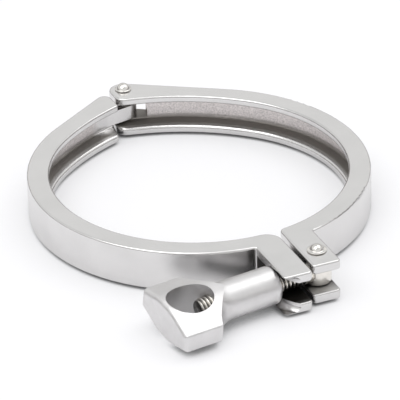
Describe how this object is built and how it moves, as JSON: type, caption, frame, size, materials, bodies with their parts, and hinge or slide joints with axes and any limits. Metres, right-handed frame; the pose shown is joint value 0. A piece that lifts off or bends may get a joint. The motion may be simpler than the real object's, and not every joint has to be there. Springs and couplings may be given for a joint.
{
  "type": "sanitary hinged clamp",
  "caption": "Polished stainless hinged clamp for a 4 inch sanitary ferrule joint, with a swing bolt and a winged nut, loosely closed.",
  "frame": {"origin": "centre of the bore, halfway up the band", "axes": "+Z along the pipe's axis, towards the domed ends of the pins; +Y from the closure to the hinge; +X on the half with the fork"},
  "size_m": [0.1286, 0.1764, 0.0198],
  "materials": {
    "cast_stainless": "bright tumbled casting, softly mottled on the outside and cast-textured in the groove",
    "rivet_stainless": "bright polished",
    "bolt_stainless": "bright machined",
    "nut_stainless": "smooth satin polished casting"
  },
  "bodies": {
    "clevis_half": {"clevis_band": "cast_stainless", "hinge_pin": "rivet_stainless", "bolt_pin": "rivet_stainless"},
    "tongue_half": {"tongue_band": "cast_stainless"},
    "bolt": {"swing_bolt": "bolt_stainless"},
    "nut": {"wing_nut": "nut_stainless"}
  },
  "joints": [
    {"name": "band_hinge", "type": "hinge", "parent": "clevis_half", "child": "tongue_half", "pos_m": [-0.0013, 0.0708, 0], "axis": [0, 0, -1], "range_deg": [-0.5, 100]},
    {"name": "bolt_swing", "type": "hinge", "parent": "clevis_half", "child": "bolt", "pos_m": [0.0135, -0.0756, 0], "axis": [0, 0, 1], "range_deg": [-1.5, 175]},
    {"name": "nut_travel", "type": "slide", "parent": "bolt", "child": "nut", "axis": [-0.9893, -0.1461, 0], "range_m": [-0.001, 0.022]}
  ],
  "couplings": [
    {"joint": "band_hinge", "follows": "nut_travel", "rad_per_m": 6.63}
  ]
}
